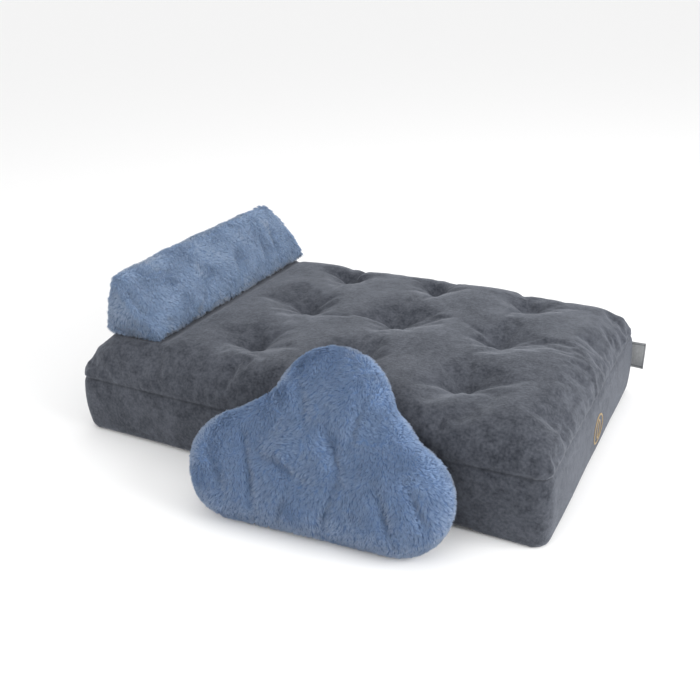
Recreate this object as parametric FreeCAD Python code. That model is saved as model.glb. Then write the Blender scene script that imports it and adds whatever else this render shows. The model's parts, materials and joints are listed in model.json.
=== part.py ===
"""Tufted dog mattress with a wedge bolster and a three-lobed leaning pillow.

Units are millimetres.  +X runs along the mattress, +Y to its back, +Z up, and the
origin is the centre of the mattress's underside.
"""
import FreeCAD, Part
import math
import os

from FreeCAD import Matrix, Placement, Vector

# ---------------------------------------------------------------- driving sizes
# mattress
bed_length = 1000.0
bed_width = 640.0
bed_height = 205.0
seam_height = 120.0
plan_corner_radius = 26.0
crown_radius = 60.0
panel_thickness = 3.0

support_foam_height = 85.0
memory_foam_height = 30.0
backing_thickness = 2.0

# tufts: an even grid, set towards the open end of the bed
tuft_pitch_x = 218.0
tuft_pitch_y = 199.0
tuft_centre_x = 78.0
tuft_centre_y = 27.0
tuft_depth = 28.0
tuft_radius = 90.0
tie_radius = 1.2
anchor_radius = 11.0
anchor_thickness = 2.0

# bolster: the hull of three round edges, as one long prism
bolster_gap = 0.6
bolster_edge_radius = 18.0
bolster_back_x = -463.0
bolster_front_x = -312.0
bolster_ridge_x = -413.0
bolster_height = 131.0
bolster_front_y = -263.0
bolster_length = 562.0

# pillow: three round lobes and a straight lower edge, leaning on the mattress
pillow_thickness = 90.0
pillow_rim_radius = 44.0
lobe_radius = 96.0
lobe_offset = 149.0
crown_lobe_radius = 108.0
crown_lobe_height = 222.0
crown_lobe_offset = 16.0
waist_radius = 100.0
pillow_lean = 25.5
pillow_turn = 4.87
pillow_foot_x = 128.5
pillow_foot_y = -452.5
liner_thickness = 1.5

# zips, the same section in all three covers
tape_width = 13.0
tape_thickness = 1.0
coil_half_width = 3.0
coil_height = 2.2
stop_length = 4.0
stop_height = 3.0
slider_half_length = 8.0
slider_half_width = 7.0
slider_clearance = 0.4
slider_plate = 1.6
bridge_half_length = 6.5
bridge_half_width = 1.5
bridge_opening = 3.0
bridge_thickness = 1.4
pull_bar_radius = 0.9
pull_length = 36.0
pull_half_width = 4.6
pull_eye_length = 9.0
slider_end_gap = 12.0
slot_width = 3.0

bed_zip_length = 840.0
bed_zip_height = 60.0
bolster_zip_length = 460.0
bolster_zip_rise = 46.0
pillow_zip_length = 280.0
pillow_zip_height = 82.0

# trim
label_reach = 30.0
label_height = 60.0
label_thickness = 1.2
label_y = 302.0
label_base = 57.0
emblem_radius = 34.0
emblem_thickness = 1.2
emblem_y = 2.0
emblem_z = 62.0

# ---------------------------------------------------------------- helpers
os.makedirs("parts", exist_ok=True)
FAR = 2000.0
UP = Vector(0, 0, 1)


def save(name, shape):
    """Write one sub-part to its own STEP file and say how many solids it has."""
    if not shape.isValid():
        raise ValueError(name + " is not a valid shape")
    shape.exportStep("parts/" + name + ".step")
    print(f"{name:28s} solids {len(shape.Solids):3d}  volume {shape.Volume / 1000.0:10.2f} cm3")


def box(x0, x1, y0, y1, z0, z1):
    return Part.makeBox(x1 - x0, y1 - y0, z1 - z0, Vector(x0, y0, z0))


def rod(radius, foot, direction, length):
    return Part.makeCylinder(radius, length, foot, direction)


def prism(points, direction):
    """A straight prism on a closed polygon."""
    face = Part.Face(Part.makePolygon(points + [points[0]]))
    return face.extrude(direction)


def frame(origin, x_dir, y_dir):
    """A placement from its origin and the directions of its X and Y axes."""
    z_dir = x_dir.cross(y_dir)
    return Placement(Matrix(
        x_dir.x, y_dir.x, z_dir.x, origin.x,
        x_dir.y, y_dir.y, z_dir.y, origin.y,
        x_dir.z, y_dir.z, z_dir.z, origin.z,
        0, 0, 0, 1))


def placed(shape, placement):
    moved = shape.copy()
    moved.Placement = placement.multiply(moved.Placement)
    return moved


# ---------------------------------------------------------------- mattress body
def arch(half_width, top, radius):
    """A wire standing on z = 0 in the XZ plane, with two round upper corners."""
    lift = radius * math.sqrt(0.5)
    left, right = -half_width + radius, half_width - radius
    springing = top - radius
    points = [Vector(-half_width, 0, 0), Vector(-half_width, 0, springing),
              Vector(left - lift, 0, springing + lift), Vector(left, 0, top),
              Vector(right, 0, top), Vector(right + lift, 0, springing + lift),
              Vector(half_width, 0, springing), Vector(half_width, 0, 0)]
    edges = [Part.makeLine(points[0], points[1]),
             Part.Arc(points[1], points[2], points[3]).toShape(),
             Part.makeLine(points[3], points[4]),
             Part.Arc(points[4], points[5], points[6]).toShape(),
             Part.makeLine(points[6], points[7]),
             Part.makeLine(points[7], points[0])]
    return Part.Face(Part.Wire(edges))


def crowned_block(inset):
    """The mattress's outer form, or the same form set in by the given distance."""
    half_length = bed_length / 2 - inset
    half_width = bed_width / 2 - inset
    top = bed_height - inset
    radius = crown_radius - inset
    corner = plan_corner_radius - inset
    along = arch(half_length, top, radius).extrude(Vector(0, 2 * half_width, 0))
    along.translate(Vector(0, -half_width, 0))
    across = arch(half_width, top, radius).extrude(Vector(0, 2 * half_length, 0))
    across.translate(Vector(0, -half_length, 0))
    across.rotate(Vector(0, 0, 0), UP, 90)
    plan = box(-half_length, half_length, -half_width, half_width, 0, top)
    uprights = [edge for edge in plan.Edges if abs(edge.tangentAt(edge.FirstParameter).z) > 0.9]
    plan = plan.makeFillet(corner, uprights)
    block = along.common(across).common(plan)
    return block.cut(box(-FAR, FAR, -FAR, FAR, -1, inset)) if inset else block


def tuft_centres():
    for column in (-1, 0, 1):
        for row in (-1, 0, 1):
            yield tuft_centre_x + column * tuft_pitch_x, tuft_centre_y + row * tuft_pitch_y


def dimpled(block, inset):
    """Press a shallow round hollow into the crown at every tuft."""
    ball_radius = (tuft_radius ** 2 + tuft_depth ** 2) / (2 * tuft_depth)
    for x, y in tuft_centres():
        centre = Vector(x, y, bed_height - tuft_depth + ball_radius)
        block = block.cut(Part.makeSphere(ball_radius + inset, centre))
    return block


def corner_wedges():
    """Four plan regions that mitre the boxing at the mattress's corners."""
    margin, depth = 20.0, 140.0
    hx, hy = bed_length / 2 + margin, bed_width / 2 + margin
    outer = [Vector(-hx, -hy, 0), Vector(hx, -hy, 0), Vector(hx, hy, 0), Vector(-hx, hy, 0)]
    inner = [Vector(-hx + depth, -hy + depth, 0), Vector(hx - depth, -hy + depth, 0),
             Vector(hx - depth, hy - depth, 0), Vector(-hx + depth, hy - depth, 0)]
    names = ["boxing_front", "boxing_right", "boxing_back", "boxing_left"]
    for index, name in enumerate(names):
        after = (index + 1) % 4
        corners = [outer[index], outer[after], inner[after], inner[index]]
        yield name, prism(corners, Vector(0, 0, FAR))


# ---------------------------------------------------------------- zips
def zip_tracks(length):
    """Tapes, coils and stops of a closed zip: X along it, Y outward, Z across it."""
    half = length / 2
    edge = coil_half_width + tape_width
    reach = half + slider_end_gap
    stops = [box(side, side + stop_length, 0, stop_height, -coil_half_width, coil_half_width)
             for side in (half, -half - stop_length)]
    coils = [box(-half, half, 0, coil_height, low, low + coil_half_width)
             for low in (-coil_half_width, 0)]
    return {
        "zip_tape_upper": box(-reach, reach, 0, tape_thickness, coil_half_width, edge),
        "zip_tape_lower": box(-reach, reach, 0, tape_thickness, -edge, -coil_half_width),
        "zip_coils": Part.makeCompound(coils),
        "zip_stops": Part.makeCompound(stops),
    }


def zip_slider(at):
    """A grooved slider plate over the coils, with the bridge that holds its pull."""
    floor = coil_height + slider_clearance
    top = floor + slider_plate
    plate = box(at - slider_half_length, at + slider_half_length, floor, top,
                -slider_half_width, slider_half_width)
    nose_edges = [edge for edge in plate.Edges if abs(edge.tangentAt(edge.FirstParameter).y) > 0.9]
    plate = plate.makeFillet(4.0, nose_edges)
    flange_foot = tape_thickness + slider_clearance
    for side in (-1, 1):
        inner, outer = side * (slider_half_width - slider_plate), side * slider_half_width
        plate = plate.fuse(box(at - 4, at + 4, flange_foot, floor + 0.5,
                               min(inner, outer), max(inner, outer)))
    bridge = box(at - bridge_half_length, at + bridge_half_length, top,
                 top + bridge_opening + bridge_thickness, -bridge_half_width, bridge_half_width)
    opening = bridge_half_length - 2
    bridge = bridge.cut(box(at - opening, at + opening, top, top + bridge_opening, -5, 5))
    return plate.fuse(bridge).removeSplitter()


def pull_height():
    """How far the pull's bar stands out from the cloth, in the middle of its opening."""
    return coil_height + slider_clearance + slider_plate + bridge_opening / 2


def zip_pull(at):
    """A flat tab with an open eye whose bar runs through the slider's bridge."""
    height = pull_height()
    half_depth = 0.8
    low, high = height - half_depth, height + half_depth
    tab = box(at - pull_length, at - pull_eye_length, low, high, -pull_half_width, pull_half_width)
    tip = [edge for edge in tab.Edges
           if abs(edge.tangentAt(edge.FirstParameter).y) > 0.9
           and edge.CenterOfMass.x < at - pull_length + 1]
    tab = tab.makeFillet(4.0, tip)
    hole_at = Vector(at - pull_length + 7, low - 1, 0)
    tab = tab.cut(rod(1.6, hole_at, Vector(0, 1, 0), 4 * half_depth))
    for side in (-1, 1):
        inner, outer = side * 3.0, side * pull_half_width
        tab = tab.fuse(box(at - pull_eye_length, at, low, high, min(inner, outer), max(inner, outer)))
    bar = rod(pull_bar_radius, Vector(at, height, -pull_half_width), UP, 2 * pull_half_width)
    return tab.fuse(bar).removeSplitter()


def save_zip(prefix, length, placement):
    """Write a whole zip.  Its slider waits at the closed end, the far end of local X."""
    for name, shape in zip_tracks(length).items():
        save(prefix + "_" + name, placed(shape, placement))
    start = length / 2 - slider_end_gap
    save(prefix + "_zip_slider", placed(zip_slider(start), placement))
    save(prefix + "_zip_pull", placed(zip_pull(start), placement))


def zip_slot(length, placement):
    """The narrow opening in the cloth that the closed coils bridge."""
    half = length / 2
    return placed(box(-half, half, -panel_thickness - 1, 0, -slot_width / 2, slot_width / 2), placement)


# ---------------------------------------------------------------- mattress
def make_mattress():
    outer = dimpled(crowned_block(0), 0)
    inner = dimpled(crowned_block(panel_thickness), panel_thickness)
    shell = outer.cut(inner)
    foot = panel_thickness
    back_frame = frame(Vector(0, bed_width / 2, bed_zip_height), Vector(1, 0, 0), Vector(0, 1, 0))

    tie_foot = foot + support_foam_height + memory_foam_height
    tie_top = bed_height - tuft_depth
    ties = [rod(tie_radius, Vector(x, y, tie_foot), UP, tie_top - tie_foot) for x, y in tuft_centres()]
    anchors = [rod(anchor_radius, Vector(x, y, tie_foot - anchor_thickness), UP, anchor_thickness)
               for x, y in tuft_centres()]
    ties = Part.makeCompound(ties)
    anchors = Part.makeCompound(anchors)

    save("bottom_panel", outer.common(box(-FAR, FAR, -FAR, FAR, 0, foot)))
    boxing = shell.common(box(-FAR, FAR, -FAR, FAR, foot, seam_height))
    for name, wedge in corner_wedges():
        panel = boxing.common(wedge)
        if name == "boxing_back":
            panel = panel.cut(zip_slot(bed_zip_length, back_frame))
        save(name, panel)
    save("top_panel", shell.common(box(-FAR, FAR, -FAR, FAR, seam_height, FAR)).cut(ties))

    levels = [foot, foot + support_foam_height, tie_foot, tie_foot + backing_thickness, FAR]
    names = ["support_foam", "memory_foam", "topper_backing", "topper_fill"]
    for name, low, high in zip(names, levels, levels[1:]):
        layer = inner.common(box(-FAR, FAR, -FAR, FAR, low, high))
        save(name, layer.cut(ties).cut(anchors))
    save("tuft_ties", ties)
    save("tuft_anchors", anchors)

    label = box(bed_length / 2 - 20, bed_length / 2 + label_reach,
                label_y - label_thickness / 2, label_y + label_thickness / 2,
                label_base, label_base + label_height)
    save("woven_label", label.cut(outer))
    save("emblem_patch", rod(emblem_radius, Vector(bed_length / 2, emblem_y, emblem_z),
                             Vector(1, 0, 0), emblem_thickness))
    save_zip("mattress", bed_zip_length, back_frame)


# ---------------------------------------------------------------- bolster
def bolster_edges():
    """Centres of the bolster's three round edges in the XZ plane: back, front, ridge."""
    base = bed_height + bolster_gap
    low = base + bolster_edge_radius
    return [Vector(bolster_back_x + bolster_edge_radius, 0, low),
            Vector(bolster_front_x - bolster_edge_radius, 0, low),
            Vector(bolster_ridge_x, 0, base + bolster_height - bolster_edge_radius)]


def outward(start, end):
    """The unit normal that points out of a side of the bolster's section."""
    run = (end - start).normalize()
    return Vector(run.z, 0, -run.x)


def bolster_prism(inset):
    """The bolster's outer form, or the same form set in by the given distance."""
    radius = bolster_edge_radius - inset
    centres = bolster_edges()
    edges = []
    for index in range(3):
        before, here, after = centres[index - 1], centres[index], centres[(index + 1) % 3]
        arrive, leave = outward(before, here), outward(here, after)
        middle = (arrive + leave).normalize()
        edges.append(Part.Arc(here + arrive * radius, here + middle * radius,
                              here + leave * radius).toShape())
        edges.append(Part.makeLine(here + leave * radius, after + leave * radius))
    section = Part.Face(Part.Wire(edges))
    section.translate(Vector(0, bolster_front_y + inset, 0))
    return section.extrude(Vector(0, bolster_length - 2 * inset, 0))


def make_bolster():
    outer = bolster_prism(0)
    inner = bolster_prism(panel_thickness)
    centres = bolster_edges()
    heart = (centres[0] + centres[1] + centres[2]) * (1 / 3)
    y_front = bolster_front_y + panel_thickness
    y_back = bolster_front_y + bolster_length - panel_thickness
    tube = outer.cut(inner).common(box(-FAR, FAR, y_front, y_back, -FAR, FAR))

    back_side = outward(centres[2], centres[0])
    zip_start = centres[0] + back_side * bolster_edge_radius
    rise = (centres[2] - centres[0]).normalize()
    zip_origin = zip_start + rise * bolster_zip_rise
    zip_origin.y = bolster_front_y + bolster_length / 2
    back_frame = frame(zip_origin, Vector(0, 1, 0), back_side)

    for index, name in enumerate(["bolster_base_panel", "bolster_front_panel", "bolster_back_panel"]):
        here, after = centres[index], centres[(index + 1) % 3]
        reach = [heart, heart + (here - heart) * 4, heart + (after - heart) * 4]
        reach = [point + Vector(0, -FAR, 0) for point in reach]
        panel = tube.common(prism(reach, Vector(0, 2 * FAR, 0)))
        if name == "bolster_back_panel":
            panel = panel.cut(zip_slot(bolster_zip_length, back_frame))
        save(name, panel)
    save("bolster_end_front", outer.common(box(-FAR, FAR, -FAR, y_front, -FAR, FAR)))
    save("bolster_end_back", outer.common(box(-FAR, FAR, y_back, FAR, -FAR, FAR)))
    save("bolster_foam", inner)
    save_zip("bolster", bolster_zip_length, back_frame)


# ---------------------------------------------------------------- pillow
def waist_arc(centre, radius, lobe, lobe_size):
    """Centre of the hollow arc that joins the crown lobe to a lower lobe on its side."""
    near, far = radius + waist_radius, lobe_size + waist_radius
    gap = lobe - centre
    along = (near ** 2 - far ** 2 + gap.Length ** 2) / (2 * gap.Length)
    across = math.sqrt(near ** 2 - along ** 2)
    run = gap.normalize()
    side = Vector(-run.z, 0, run.x) if lobe.x > centre.x else Vector(run.z, 0, -run.x)
    return centre + run * along + side * across


def towards(start, end, distance):
    return start + (end - start).normalize() * distance


def pillow_outline(inset):
    """The cloud outline in the pillow's own XZ plane, standing on z = 0."""
    lobe_size = lobe_radius - inset
    crown_size = crown_lobe_radius - inset
    crown = Vector(crown_lobe_offset, 0, crown_lobe_height)
    right = Vector(lobe_offset, 0, lobe_radius)
    left = Vector(-lobe_offset, 0, lobe_radius)
    hollow = waist_radius + inset
    right_waist = waist_arc(crown, crown_lobe_radius, right, lobe_radius)
    left_waist = waist_arc(crown, crown_lobe_radius, left, lobe_radius)

    crown_right = towards(crown, right_waist, crown_size)
    crown_left = towards(crown, left_waist, crown_size)
    lobe_right = towards(right, right_waist, lobe_size)
    lobe_left = towards(left, left_waist, lobe_size)
    foot_right = right + Vector(0, 0, -lobe_size)
    foot_left = left + Vector(0, 0, -lobe_size)
    right_middle = towards(right_waist, (crown_right + lobe_right) * 0.5, hollow)
    left_middle = towards(left_waist, (crown_left + lobe_left) * 0.5, hollow)
    out = Vector(1, 0, -0.2)
    right_side = right + out.normalize() * lobe_size
    left_side = left + Vector(-out.x, 0, out.z) * lobe_size
    edges = [Part.makeLine(foot_left, foot_right),
             Part.Arc(foot_right, right_side, lobe_right).toShape(),
             Part.Arc(lobe_right, right_middle, crown_right).toShape(),
             Part.Arc(crown_right, crown + UP * crown_size, crown_left).toShape(),
             Part.Arc(crown_left, left_middle, lobe_left).toShape(),
             Part.Arc(lobe_left, left_side, foot_left).toShape()]
    return Part.Face(Part.Wire(edges))


def pillow_form(inset):
    """The stuffed outline: Y is the pillow's depth, with a full round rim."""
    half = pillow_thickness / 2 - inset
    slab = pillow_outline(inset).extrude(Vector(0, 2 * half, 0))
    slab.translate(Vector(0, -half, 0))
    rim = [edge for edge in slab.Edges if abs(abs(edge.CenterOfMass.y) - half) < 0.01]
    return slab.makeFillet(pillow_rim_radius - inset, rim)


def pillow_placement():
    """Lean the pillow back on the mattress, turn it and stand it on the floor."""
    lean = math.radians(pillow_lean)
    turn = math.radians(pillow_turn)
    x_dir = Vector(math.cos(turn), math.sin(turn), 0)
    level = Vector(-math.sin(turn), math.cos(turn), 0)
    y_dir = level * math.cos(lean) - UP * math.sin(lean)
    flat = pillow_thickness / 2 - pillow_rim_radius
    foot = pillow_rim_radius * (1 - math.cos(lean)) + flat * math.sin(lean)
    return frame(Vector(pillow_foot_x, pillow_foot_y, foot), x_dir, y_dir)


def make_pillow():
    stand = pillow_placement()
    cover = pillow_form(0)
    liner = pillow_form(panel_thickness)
    fill = pillow_form(panel_thickness + liner_thickness)
    front = box(-FAR, FAR, -FAR, 0, -FAR, FAR)
    back = box(-FAR, FAR, 0, FAR, -FAR, FAR)
    face = Placement(Vector(0, pillow_thickness / 2, pillow_zip_height), FreeCAD.Rotation())
    skin = cover.cut(liner)
    lining = liner.cut(fill)
    save("pillow_front_panel", placed(skin.common(front), stand))
    save("pillow_back_panel", placed(skin.common(back).cut(zip_slot(pillow_zip_length, face)), stand))
    save("pillow_liner_front", placed(lining.common(front), stand))
    save("pillow_liner_back", placed(lining.common(back), stand))
    save("pillow_fill", placed(fill, stand))
    save_zip("pillow", pillow_zip_length, stand.multiply(face))


make_mattress()
make_bolster()
make_pillow()
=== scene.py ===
# %% [markdown]
# # A tufted dog mattress with a plush bolster and a plush pillow
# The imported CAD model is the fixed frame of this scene: it says where every piece sits and how
# it moves.  Each soft CAD solid is replaced here by a cover that looks like sewn cloth, and the
# small hard pieces, such as the zip sliders, stay and only get a better finish.

import json
import math

import bpy
import numpy as np
from mathutils import Matrix, Vector, kdtree, noise


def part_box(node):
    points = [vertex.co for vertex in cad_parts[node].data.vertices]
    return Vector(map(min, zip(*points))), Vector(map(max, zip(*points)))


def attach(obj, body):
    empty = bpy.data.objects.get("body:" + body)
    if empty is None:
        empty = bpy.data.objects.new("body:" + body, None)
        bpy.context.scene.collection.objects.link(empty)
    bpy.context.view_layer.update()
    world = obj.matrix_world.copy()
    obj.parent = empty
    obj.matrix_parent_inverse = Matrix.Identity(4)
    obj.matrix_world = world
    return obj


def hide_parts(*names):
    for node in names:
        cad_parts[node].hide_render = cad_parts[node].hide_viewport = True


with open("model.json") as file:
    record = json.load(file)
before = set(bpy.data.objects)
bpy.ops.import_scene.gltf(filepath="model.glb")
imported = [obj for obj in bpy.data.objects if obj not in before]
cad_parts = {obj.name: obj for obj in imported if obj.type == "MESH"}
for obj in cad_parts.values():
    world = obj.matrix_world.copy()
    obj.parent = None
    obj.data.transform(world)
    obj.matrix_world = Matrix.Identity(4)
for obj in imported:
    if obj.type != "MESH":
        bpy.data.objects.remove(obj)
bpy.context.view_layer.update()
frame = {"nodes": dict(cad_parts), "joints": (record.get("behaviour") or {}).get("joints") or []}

# %% [markdown]
# ## Camera, floor and light
# A long-side view from the front right, a little above the bed.  The camera stands less than two
# metres away, so near edges look clearly larger than far ones.  A pale floor and large soft
# lamps give the even light of a studio, with the strongest lamp at the right, where the end of
# the mattress is brightest.

# %% Camera
CAMERA_AT = Vector((0.7735, -1.4274, 0.9022))
CAMERA_TURN = math.radians(29.28)
CAMERA_TILT = math.radians(64.73)
CAMERA_ROLL = math.radians(-2.64)
CAMERA_LENS = 43.45


def make_camera():
    """Adds the camera and makes it the one that renders."""
    data = bpy.data.cameras.new("camera")
    data.lens = CAMERA_LENS
    data.sensor_width = 36.0
    camera = bpy.data.objects.new("camera", data)
    bpy.context.collection.objects.link(camera)
    turn = Matrix.Rotation(CAMERA_TURN, 4, "Z")
    tilt = Matrix.Rotation(CAMERA_TILT, 4, "X")
    roll = Matrix.Rotation(CAMERA_ROLL, 4, "Z")
    camera.matrix_world = Matrix.Translation(CAMERA_AT) @ turn @ tilt @ roll
    bpy.context.scene.camera = camera


make_camera()
print("camera at", [round(value, 3) for value in CAMERA_AT], "lens", CAMERA_LENS)


# %% Lamps
def area_lamp(name, place, aim, size, power):
    """Adds a rectangular lamp at a place, aimed at a point."""
    data = bpy.data.lights.new(name, "AREA")
    data.shape = "RECTANGLE"
    data.size, data.size_y = size
    data.energy = power
    lamp = bpy.data.objects.new(name, data)
    bpy.context.collection.objects.link(lamp)
    lamp.location = place
    lamp.rotation_euler = (Vector(aim) - Vector(place)).to_track_quat("-Z", "Y").to_euler()


area_lamp("side_lamp", (2.6, -0.2, 1.3), (0.2, 0, 0.1), (1.6, 1.6), 60)
area_lamp("front_lamp", (-0.6, -2.6, 1.9), (0, 0, 0.1), (2.0, 1.6), 22)
area_lamp("top_lamp", (-0.5, 0.9, 2.6), (0, 0, 0.1), (2.2, 2.2), 4)


# %% Floor and world
FLOOR_SIZE = 80
FLOOR_DROP = 0.0005
FLOOR_SHADE = 0.90


def make_studio():
    """Adds a wide pale floor and an even white surrounding light."""
    bpy.ops.mesh.primitive_plane_add(size=FLOOR_SIZE, location=(0, 0, -FLOOR_DROP))
    floor = bpy.context.active_object
    floor.name = "studio_floor"
    paint = bpy.data.materials.new("pale_floor")
    paint.use_nodes = True
    shader = paint.node_tree.nodes["Principled BSDF"]
    shader.inputs["Base Color"].default_value = (FLOOR_SHADE, FLOOR_SHADE, FLOOR_SHADE, 1)
    shader.inputs["Roughness"].default_value = 0.9
    floor.data.materials.append(paint)
    world = bpy.data.worlds.new("studio")
    world.use_nodes = True
    world.node_tree.nodes["Background"].inputs["Color"].default_value = (1, 1, 1, 1)
    world.node_tree.nodes["Background"].inputs["Strength"].default_value = 1.0
    bpy.context.scene.world = world
    bpy.context.scene.view_settings.view_transform = "Standard"


make_studio()
print("floor", FLOOR_SIZE, "m wide")

# %% [markdown]
# ## Small helpers
# Operators act on whatever is selected, so every piece starts from an empty selection.  The
# vertex positions of a mesh are moved as one array, which keeps the sculpting formulas short.


# %% Helpers for meshes
def select_only(thing):
    """Selects one object and nothing else."""
    bpy.ops.object.select_all(action="DESELECT")
    thing.select_set(True)
    bpy.context.view_layer.objects.active = thing


def points_of(thing):
    """All points of a mesh as one array."""
    flat = np.zeros(len(thing.data.vertices) * 3)
    thing.data.vertices.foreach_get("co", flat)
    return flat.reshape(-1, 3)


def move_points(thing, points):
    """Puts all points of a mesh where the array says."""
    thing.data.vertices.foreach_set("co", np.ascontiguousarray(points, dtype=np.float64).ravel())
    thing.data.update()


def apply_modifier(thing, name, kind, **settings):
    """Adds a modifier with the given settings and applies it."""
    select_only(thing)
    modifier = thing.modifiers.new(name, kind)
    for key, value in settings.items():
        setattr(modifier, key, value)
    bpy.ops.object.modifier_apply(modifier=name)


def smoothstep(low, high, value):
    """0 below low, 1 above high, and a smooth ramp between."""
    t = np.clip((value - low) / (high - low), 0, 1)
    return t * t * (3 - 2 * t)


def cloud(points, size, seed):
    """Soft noise from -1 to 1 at each point, with features about size metres across."""
    shift = Vector((seed * 7.31, seed * 3.17, seed * 5.53))
    return np.array([noise.noise(Vector(p) / size + shift) for p in points])


def count_faces(thing):
    """Prints how large a piece is."""
    print(f"{thing.name:24s} {len(thing.data.vertices):7d} points {len(thing.data.polygons):7d} faces")


# %% [markdown]
# ## The mattress cover
# On the real bed this is a box of velour: four boxing strips, a flat base and a top panel that is
# cut larger than the foam, stuffed, and pulled down by nine ties.  It is made here as one grid
# that is folded over the edges of the foam.  A grid keeps its rows along the seams, and a cloth
# simulation then fills the top panel, so that the folds between the tufts come by themselves.

# %% Sizes of the mattress
ANCHOR_RADIUS = 0.011
HALF_X, HALF_Y = 0.5, 0.32
CORNER = 0.028
SEAM_Z = 0.120
CREST_Z = 0.204
PUFF_RUN = 0.085
GRID_STEP = 0.0075
tuft_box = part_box("tuft_anchors")
TUFT_X = np.linspace(tuft_box[0].x + ANCHOR_RADIUS, tuft_box[1].x - ANCHOR_RADIUS, 3)
TUFT_Y = np.linspace(tuft_box[0].y + ANCHOR_RADIUS, tuft_box[1].y - ANCHOR_RADIUS, 3)
TUFT_Z = 0.178
TUFTS = [(x, y) for x in TUFT_X for y in TUFT_Y]
print("tufts at", np.round(TUFT_X, 3), np.round(TUFT_Y, 3))


def seam_height(x):
    """The top seam climbs a little towards the right end, where the foam is fuller."""
    return SEAM_Z + 0.014 * smoothstep(0.1, 0.5, x)


def round_corners(x, y, radius):
    """Turns the square corners of a plan into round ones."""
    qx = np.clip((np.abs(x) - (HALF_X - radius)) / radius, 0, 1.3)
    qy = np.clip((np.abs(y) - (HALF_Y - radius)) / radius, 0, 1.3)
    both = (qx > 0) & (qy > 0)
    nx = qx * np.sqrt(np.clip(1 - qy * qy / 2, 0, 1))
    ny = qy * np.sqrt(np.clip(1 - qx * qx / 2, 0, 1))
    x = np.where(both, np.sign(x) * (HALF_X - radius + radius * nx), x)
    y = np.where(both, np.sign(y) * (HALF_Y - radius + radius * ny), y)
    return x, y


# %% Fold a grid over the foam
PUFF_ARC = 0.130
PUFF_LIFT = 0.003


def fold_over(sheet, half):
    """Maps a distance on the flat sheet to a distance on the bed and a height from 0 to 1."""
    from_edge = np.clip((half + PUFF_ARC - PUFF_RUN - np.abs(sheet)) / PUFF_ARC, 0, 1)
    angle = from_edge * math.pi / 2
    folded = half - PUFF_RUN * (1 - np.cos(angle)) + PUFF_LIFT * np.sin(2 * angle) * (from_edge < 1)
    inner = np.abs(sheet) <= half - PUFF_RUN
    return np.sign(sheet) * np.where(inner, np.abs(sheet), folded), np.where(inner, 1, np.sin(angle))


BACK_RIGHT_SAG = 0.014
FRONT_LEFT_SAG = 0.020


def mattress_grid():
    """Adds the grid and folds it over the foam."""
    sheet_x = HALF_X - PUFF_RUN + PUFF_ARC
    sheet_y = HALF_Y - PUFF_RUN + PUFF_ARC
    columns, rows = round(2 * sheet_x / GRID_STEP), round(2 * sheet_y / GRID_STEP)
    bpy.ops.object.select_all(action="DESELECT")
    bpy.ops.mesh.primitive_grid_add(x_subdivisions=columns, y_subdivisions=rows, size=2)
    cover = bpy.context.active_object
    cover.name = "mattress_cover"
    flat = points_of(cover)
    x, height_x = fold_over(flat[:, 0] * sheet_x, HALF_X)
    y, height_y = fold_over(flat[:, 1] * sheet_y, HALF_Y)
    x, y = round_corners(x, y, CORNER)
    seam = seam_height(x)
    sag = BACK_RIGHT_SAG * smoothstep(0.15, 0.46, x) * smoothstep(-0.05, 0.25, y)
    sag += FRONT_LEFT_SAG * smoothstep(0.38, 0.495, -x) * smoothstep(-0.05, 0.22, -y)
    z = seam + (CREST_Z - seam - sag) * height_x * height_y
    move_points(cover, np.stack([x, y, z], 1))
    return cover


cover = mattress_grid()
count_faces(cover)


# %% [markdown]
# ## Press in the tufts
# Nine ties pull the stuffed panel down to the foam.  Each one starts here as a narrow cusp, with
# shallow folds that run from tuft to tuft; the simulation then widens and softens them.

# %% How far from a tuft
BACK_RIM_STRETCH = 1.3


def tuft_distance(points):
    """Distance in plan to the nearest tuft, stretched behind the back row, where the rim is stiff."""
    beyond = 1 + BACK_RIM_STRETCH * smoothstep(TUFT_Y[2], TUFT_Y[2] + 0.03, points[:, 1])
    gaps = [np.hypot(points[:, 0] - x, points[:, 1] - y) * beyond for x, y in TUFTS]
    return np.min(gaps, axis=0)


# %% Folds around the tufts
FOLDS_PER_TUFT = 9


def fold_rays(points, seed, reach, depth):
    """Narrow folds that fan out from each tuft and fade with distance."""
    rng = np.random.default_rng(seed)
    total = np.zeros(len(points))
    for x, y in TUFTS:
        away = np.hypot(points[:, 0] - x, points[:, 1] - y)
        heading = np.arctan2(points[:, 1] - y, points[:, 0] - x)
        for _ in range(FOLDS_PER_TUFT):
            aim = rng.uniform(-math.pi, math.pi)
            wide = rng.uniform(0.0035, 0.006)
            bend = rng.uniform(-4, 4)
            turn = np.angle(np.exp(1j * (heading - aim - bend * away)))
            across = away * np.sin(np.clip(turn, -1.5, 1.5))
            end = reach * rng.uniform(0.6, 1.3)
            fade = smoothstep(0, 0.02, away) * (1 - smoothstep(0.3, 1, away / end))
            total -= depth * np.exp(-(across / wide) ** 2) * fade * (np.abs(turn) < 1.5)
    return total


# %% Sculpt the top panel
TUFT_SPREAD = 0.036
PUFF_RISE = 0.003
PUFF_UNEVEN = 0.005


def sculpt_top(cover):
    """Presses in the tufts and makes the puffs between them uneven."""
    points = points_of(cover)
    gap = tuft_distance(points)
    high = smoothstep(0.15, 0.19, points[:, 2])
    press = (CREST_Z - TUFT_Z) * np.exp(-(gap / TUFT_SPREAD) ** 1.1)
    points[:, 2] += (PUFF_RISE + PUFF_UNEVEN * cloud(points, 0.1, 1) - press) * high
    points[:, 2] += fold_rays(points, 5, 0.075, 0.004) * high
    move_points(cover, points)


sculpt_top(cover)


# %% [markdown]
# ## Let the stuffing fill the cover
# Cloth with air pressure behind it is how stuffing behaves.  The seam and the tufts are pinned,
# the cloth is given a few percent more area than it needs, and the extra turns into folds.

# %% Cloth simulation
CLOTH_STIFFNESS = 15.0


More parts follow.
